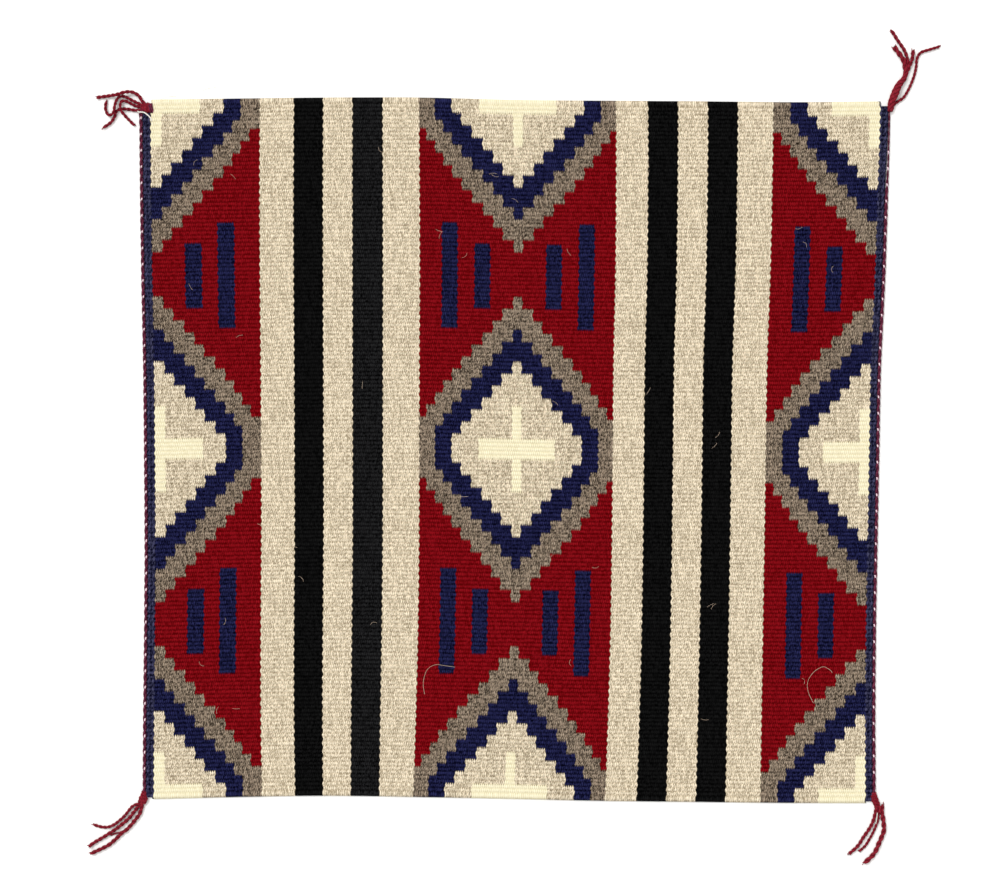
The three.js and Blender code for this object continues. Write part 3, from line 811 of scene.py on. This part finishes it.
# A knot's rows are x, y, width and height along it. A strand has its width, then rows of x, y and,
# where it passes over others, the count of yarns under it. A trunk's rows are x, y and width, where
# the yarns lie twisted together. Lengths are in millimetres, and are the part's own. turns is how
# often a yarn is wound around the knot.
TASSELS = {
    "tassel_top_left": {
        "turns": 3,
        "knot": [
            (-248.4, 234.9, 5.4, 3), (-249.8, 234.9, 6.4, 3.8), (-252.2, 235, 6, 3.6),
            (-254.8, 235.4, 4.4, 2.6),
        ],
        "strands": [
            (2.4, [
                (-251.5, 236.6), (-254.7, 239.6), (-257, 243.2), (-261.4, 245.6, 0.4),
                (-266.1, 245.4, 1), (-271.7, 243.8, 1), (-278.8, 243), (-285.9, 242),
            ]),
            (2.1, [
                (-251.5, 235.6), (-260.2, 239.4), (-266.1, 242.5), (-270.1, 242.8),
                (-272.4, 239.9, 0.2), (-273.2, 235.9, 1), (-274.2, 231.2, 1), (-278, 230.1),
                (-280, 234.5), (-279.5, 239.3),
            ]),
            (2.2, [
                (-251.5, 234.2), (-258.2, 233.2), (-264.1, 234), (-269.3, 234.2), (-272.6, 232.4),
                (-273.8, 228.6), (-276.4, 224.8), (-281.5, 221.3),
            ]),
            (2.1, [
                (-251.5, 234.9), (-259.4, 236.4), (-265.2, 239.3, 0.1), (-268.6, 239.4, 0.3),
                (-269.4, 236, 1), (-268.4, 232, 1), (-264.5, 227.4), (-260.2, 223),
            ]),
        ],
    },
    "tassel_top_right": {
        "turns": 2,
        "knot": [(259.7, 232.6, 3, 2.8), (260.6, 234.9, 4.4, 3.8), (261.2, 238.4, 4.6, 3.4)],
        "trunk": [
            (260.3, 232.6, 4.4), (261.2, 238.4, 5.4), (264, 245.6, 6.2), (266.6, 250.9, 5.2),
            (269.7, 254.8, 4.2), (271.6, 260.1, 3.8),
        ],
        "strands": [
            (2.4, [
                (271.4, 258.6), (272.7, 265.4), (271.6, 271.1), (269.7, 275.5), (265.8, 281.2),
                (261.6, 287.8),
            ]),
            (3.4, [(271, 258.6), (270.2, 265.8), (267.6, 270.7), (263.1, 276.8)]),
            (2.6, [(271.6, 258.6), (274.1, 264.5), (275.6, 268.9), (276.3, 274.2)]),
            (2, [
                (261, 235.6), (265.8, 239.3), (269.7, 242.1), (272.5, 246.5), (275.2, 252.2),
                (277.2, 257.9), (278.4, 263.5), (278.9, 268.6), (281.5, 273), (287.7, 275.1),
                (293.8, 277),
            ]),
        ],
    },
    "tassel_bottom_left": {
        "turns": 4,
        "knot": [
            (-253.4, -235.8, 3.2, 2.8), (-253.4, -238.4, 4.4, 3.6), (-253.9, -241, 5.8, 3.8),
            (-255, -243.6, 5, 2.8),
        ],
        "strands": [
            (2.1, [
                (-254, -241.8), (-256.4, -243.8), (-261.6, -246.3), (-266.4, -252.2), (-269.8, -255.4),
                (-274, -258.6), (-278.2, -260.4), (-283, -260.2), (-288.1, -258.8),
            ]),
            (2.5, [
                (-254.2, -242.4), (-259.7, -249.2), (-263.2, -253.6), (-267.3, -257.4),
                (-271.7, -260.9), (-280.2, -266.6), (-285.4, -269.6), (-291.3, -273.5),
            ]),
            (2.7, [
                (-254.2, -242.8), (-256, -250.2), (-258.5, -254.2), (-264.8, -261.6), (-268.6, -264.4),
                (-275.3, -270.8), (-279.8, -273.8), (-290.1, -278.7),
            ]),
        ],
    },
    "tassel_bottom_right": {
        "turns": 5,
        "knot": [
            (248.6, -236.7, 4.2, 3.2), (249.4, -240.6, 4.6, 3.6), (250.9, -244, 4.2, 3.6),
            (251.7, -247.4, 3.6, 2.8),
        ],
        "strands": [
            (2.4, [
                (251.4, -245.8), (250.2, -250.4), (248.9, -255.4), (246.9, -260.1), (241.6, -268),
                (239.4, -271.6), (236.6, -275), (232.3, -278.7),
            ]),
            (1.9, [
                (251.7, -246.2), (252.3, -252), (251.8, -256.5), (248.5, -264.6), (245.9, -269.1),
                (243.4, -273.2), (239.2, -277.1),
            ]),
            (3.2, [
                (251.8, -245.8), (254.5, -250), (256, -259.3), (255.9, -263.3), (252.4, -272),
                (250.6, -276.3), (248.4, -279.6), (242.8, -285),
            ]),
            (2.6, [(254.1, -250.4), (255, -247.4), (255.2, -244.8)]),
        ],
    },
}


def wound(rows, turns):
    """The route of a yarn wound slantwise around a knot's core, from its first row to its last."""
    rows = np.array(rows) * MM
    shares = np.linspace(0, 1, KNOT_STEPS * turns + 1)
    x, y, wide, high = (np.interp(shares, np.linspace(0, 1, len(rows)), rows[:, k]) for k in range(4))
    way = Vector(rows[-1, :2] - rows[0, :2]).normalized()
    route = []
    for k, share in enumerate(shares):
        around = 2 * math.pi * turns * share
        aside = math.cos(around) * max(wide[k] - KNOT_YARN, KNOT_FLATTEST) / 2
        ahead = KNOT_SLANT * aside
        lift = KNOT_YARN / 2 + max(high[k] - KNOT_YARN, 0) * (0.5 + 0.5 * math.sin(around))
        route.append((x[k] + way.y * aside + way.x * ahead, y[k] - way.x * aside + way.y * ahead, lift))
    return route


def core_yarns(rows):
    """The yarns that run through a knot under its winding, side by side."""
    rows = np.array(rows) * MM
    way = Vector(rows[-1, :2] - rows[0, :2]).normalized()
    cores = []
    for share in CORE_YARNS:
        route = [
            (x + way.y * share * wide, y - way.x * share * wide, high / 2) for x, y, wide, high in rows
        ]
        cores.append(plied(route, np.minimum(rows[:, 3], CORE_WIDE * rows[:, 2]), CORE_TURN))
    return cores


def strand_yarns(wide, rows, dice):
    """A loose yarn on the floor, with the short fibres that stand out from its cut end."""
    wide *= PLUMP * MM
    route = [(x * MM, y * MM, sum(over) * LIFT_STEP + wide / 2) for x, y, *over in rows]
    yarns = [plied(route, wide, STRAND_TURN * wide)]
    end = Vector(route[-1])
    ahead = (end - Vector(route[-2])).normalized()
    for _ in range(FRAYS):
        aside = Vector(dice.uniform(-1, 1, 3)) * wide * FRAY_ASIDE
        tip = end + ahead * FRAY_LONG * dice.uniform(FRAY_SHORTEST, 1) + aside * FRAY_LEAN[1]
        tip.z = max(tip.z, FRAY_WIDE)
        root = end - ahead * wide * FRAY_IN + aside * FRAY_LEAN[0]
        middle = (root + tip) / 2 + aside * FRAY_BOW
        yarns.append(single([tuple(root), tuple(middle), tuple(tip)], FRAY_WIDE))
    return yarns


dice = np.random.default_rng(4)
for name, tassel in TASSELS.items():
    yarns = [plied(wound(tassel["knot"], tassel["turns"]), KNOT_YARN, STRAND_TURN * KNOT_YARN)]
    yarns += core_yarns(tassel["knot"])
    if "trunk" in tassel:
        trunk = [(x * MM, y * MM, TRUNK_PLUMP / 2 * wide * MM) for x, y, wide in tassel["trunk"]]
        widths = [TRUNK_PLUMP * wide * MM for _, _, wide in tassel["trunk"]]
        yarns.append(plied(trunk, widths, TRUNK_TURN, plies=4))
    for wide, rows in tassel["strands"]:
        yarns += strand_yarns(wide, rows, dice)
    piece = yarn_piece(name + "_yarns", yarns, tassel_wool, step=0.45 * MM)
    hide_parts(name)


# The ends that are left over: a dark winding that closes the upper left knot, two thin ends of undyed
# warp, a ply that has come away from its yarn, and pale hairs on the cloth and beside it.

hair_wool = spun_wool("wool_hair_undyed", "#b9a08a", "#e0cdb8")
loose_warp_wool = spun_wool("wool_warp_loose_end", "#e4ddd0", "#fbf8f0")
WINDING = [(-247.5, 234.7, 7.6, 4.0), (-250.2, 234.9, 7.2, 4.2)]
WINDING_YARN = 1.8 * MM
dark_winding = [plied(wound(WINDING, 2), WINDING_YARN, STRAND_TURN * WINDING_YARN)]
yarn_piece("knot_winding_top_left", dark_winding, cord_wool, step=0.4 * MM)
STUBS = [
    ("warp_end_top_left", loose_warp_wool, 1.0,
     [(-257.8, 232.6, 1.6), (-256.6, 231.9, 2.6), (-253.2, 231.5, 3.2), (-250.3, 229.5, 3.5),
      (-248.6, 227.5, 3.3), (-248.0, 225.6, 3.1)]),
    ("warp_end_bottom_right", loose_warp_wool, 0.7,
     [(251.4, -250.4, 2.4), (251.0, -254.6, 2.3), (250.4, -259.4, 0.6)]),
    ("loose_ply_bottom_left", tassel_wool, 1.3,
     [(-266.4, -262.6, 1.2), (-270.4, -264.2, 0.8), (-273.6, -265.0, 0.7), (-276.6, -266.2, 0.7)]),
]
for name, wool, wide, route in STUBS:
    yarns = [plied([(x * MM, y * MM, z * MM) for x, y, z in route], wide * MM, STRAND_TURN * wide * MM)]
    yarn_piece(name, yarns, wool, step=0.3 * MM, fuzz=0.0)

HAIR_WIDE = 0.18 * MM
HAIR_OVER = THICK + 0.15 * MM
LONG_HAIRS = [
    [(-60.1, -168.7), (-60.9, -164.4), (-61.0, -160.4), (-60.1, -155.8), (-58.3, -151.8),
     (-55.2, -149.3), (-51.5, -148.3), (-47.5, -148.9), (-42.9, -149.5), (-39.2, -150.1)],
    [(220.2, -154.1), (218.8, -152.0), (214.3, -149.8), (209.8, -151.7), (206.4, -154.8),
     (204.0, -158.6), (203.1, -163.1), (204.3, -168.6), (207.4, -174.8)],
]
hairs = [single([(x * MM, y * MM, HAIR_OVER) for x, y in route], HAIR_WIDE) for route in LONG_HAIRS]
FLOOR_HAIRS = [
    [(-222.0, 241.2, 1.5), (-216.5, 245.0, 0.8), (-210.0, 248.2, 0.3), (-203.4, 249.2, 0.2)],
    [(-242.0, 240.8, 1.5), (-237.0, 242.6, 0.6), (-231.2, 243.0, 0.2)],
]
hairs += [single([(x * MM, y * MM, z * MM) for x, y, z in route], HAIR_WIDE) for route in FLOOR_HAIRS]
SHORT_HAIRS = 70
SHORT_WIDE = 0.7 * HAIR_WIDE
SHORT_STEP = 1.3 * MM
SHORT_POINTS = 5
SHORT_BEND = 0.5  # the most that a short hair turns at a point, in radians
STREWN_OVER = 240 * MM  # each way from the cloth's middle
for _ in range(SHORT_HAIRS):
    x, y = dice.uniform(-STREWN_OVER, STREWN_OVER, 2)
    heading = dice.uniform(0, 2 * math.pi)
    bend = dice.uniform(-SHORT_BEND, SHORT_BEND)
    route = []
    for _ in range(SHORT_POINTS):
        route.append((x, y, HAIR_OVER))
        x += math.cos(heading) * SHORT_STEP
        y += math.sin(heading) * SHORT_STEP
        heading += bend
    hairs.append(single(route, SHORT_WIDE))
yarn_piece("single_hairs", hairs, hair_wool, step=1.0 * MM, fuzz=0.0)


# The stage: a white sheet of board, light from all round as from soft boxes, and one stronger soft
# light from the upper left, with the camera straight above.

FLOOR_CORNERS = [(-2, -2, 0), (2, -2, 0), (2, 2, 0), (-2, 2, 0)]
SKY_STRENGTH = 0.88
KEY_STRENGTH = 2.05
KEY_SOFT = math.radians(28)
KEY_WAY = (0.45, -0.55, -0.9)
floor_mesh = bpy.data.meshes.new("floor")
floor_mesh.from_pydata(FLOOR_CORNERS, [], [(0, 1, 2, 3)])
floor = add_object("floor", floor_mesh)
board = bpy.data.materials.new("painted_board_white")
board.use_nodes = True
board_shader = board.node_tree.nodes["Principled BSDF"]
board_shader.inputs["Base Color"].default_value = linear("#f6f6f4")
board_shader.inputs["Roughness"].default_value = 0.8
floor_mesh.materials.append(board)

world = bpy.data.worlds.new("soft_box_light")
world.use_nodes = True
sky = world.node_tree.nodes["Background"]
sky.inputs["Color"].default_value = (1.0, 1.0, 1.0, 1.0)
sky.inputs["Strength"].default_value = SKY_STRENGTH
scene.world = world

key = add_object("key_light", bpy.data.lights.new("key_light", "SUN"))
key.data.energy = KEY_STRENGTH
key.data.angle = KEY_SOFT
key.rotation_euler = Vector(KEY_WAY).to_track_quat("-Z", "Y").to_euler()

PHOTO_WIDE = 1000
PHOTO_HIGH = 877
MM_PER_PIXEL = 0.688  # at the cloth's face
LENS = 85.0
SENSOR = 36.0
ORIGIN_PIXEL = (512.0, 449.0)  # where the photograph shows the origin
camera = add_object("camera", bpy.data.cameras.new("camera"))
camera.data.lens = LENS
camera.data.sensor_width = SENSOR
camera.location = (
    (PHOTO_WIDE / 2 - ORIGIN_PIXEL[0]) * MM_PER_PIXEL * MM,
    (ORIGIN_PIXEL[1] - PHOTO_HIGH / 2) * MM_PER_PIXEL * MM,
    THICK + PHOTO_WIDE * MM_PER_PIXEL * MM * LENS / SENSOR,
)
scene.camera = camera
scene.view_settings.view_transform = "Standard"
